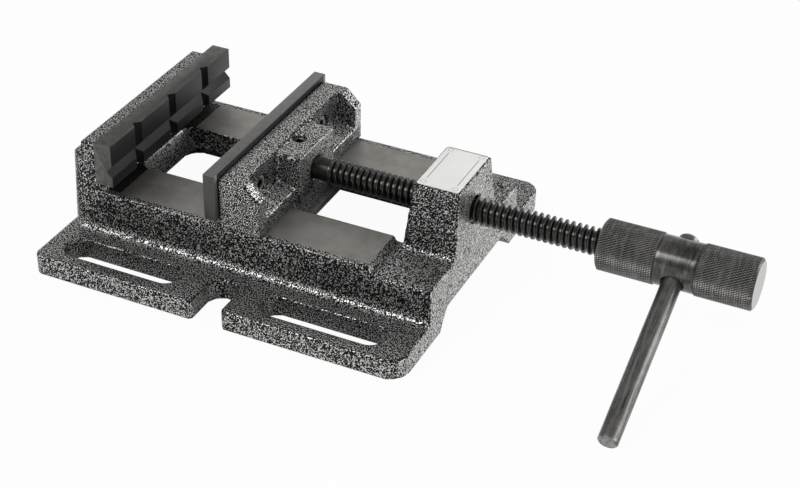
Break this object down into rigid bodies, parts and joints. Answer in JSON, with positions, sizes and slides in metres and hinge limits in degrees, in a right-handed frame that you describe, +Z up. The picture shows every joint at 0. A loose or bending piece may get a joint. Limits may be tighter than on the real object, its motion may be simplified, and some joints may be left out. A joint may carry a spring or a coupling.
{
  "type": "drill press vise",
  "caption": "Low drill press vise: slotted cast base with machined ways, fixed jaw with V-grooved plate, screw-driven sliding jaw, knurled hub and sliding tommy bar.",
  "frame": {"origin": "centre of the four bolt slots, on the plane that the base stands on", "axes": "+X along the screw from the fixed jaw towards the handle, +Y across the jaws, +Z up"},
  "size_m": [0.2951, 0.155, 0.0558],
  "materials": {
    "hammertone_paint": "silver and black hammertone paint over cast iron",
    "plate_white": "bare pale printed plate",
    "blackened_steel": "ground and blackened",
    "machined_steel": "milled, oiled",
    "fastener_black": "black oxide",
    "screw_black": "black oxide, oiled, bright thread crests",
    "hub_steel": "knurled black oxide, bright turned end",
    "bar_steel": "drawn black oxide bar"
  },
  "bodies": {
    "base": {"base_casting": "hammertone_paint", "label_plate": "plate_white", "fixed_jaw_plate": "blackened_steel", "fixed_jaw_screw_near": "fastener_black", "fixed_jaw_screw_far": "fastener_black"},
    "jaw": {"sliding_jaw": "hammertone_paint", "moving_jaw_plate": "blackened_steel", "moving_jaw_screw_near": "fastener_black", "moving_jaw_screw_far": "fastener_black", "keeper_plate": "machined_steel", "keeper_screw_near": "fastener_black", "keeper_screw_far": "fastener_black", "spring_washer_near": "machined_steel", "spring_washer_far": "machined_steel", "retaining_grub_screw": "fastener_black"},
    "screw": {"lead_screw": "screw_black", "handle_hub": "hub_steel"},
    "bar": {"tommy_bar": "bar_steel"}
  },
  "joints": [
    {"name": "jaw_slide", "type": "slide", "parent": "base", "child": "jaw", "axis": [1, 0, 0], "range_m": [-0.0445, 0.0511]},
    {"name": "screw_turn", "type": "hinge", "parent": "jaw", "child": "screw", "pos_m": [0.1, 0, 0.0387], "axis": [1, 0, 0], "range_deg": [-5721.4, 6570]},
    {"name": "bar_slide", "type": "slide", "parent": "screw", "child": "bar", "axis": [0, 0.9114, 0.4115], "range_m": [0, 0.0723]}
  ],
  "couplings": [
    {"joint": "jaw_slide", "follows": "screw_turn", "m_per_rad": 0.00044563}
  ]
}
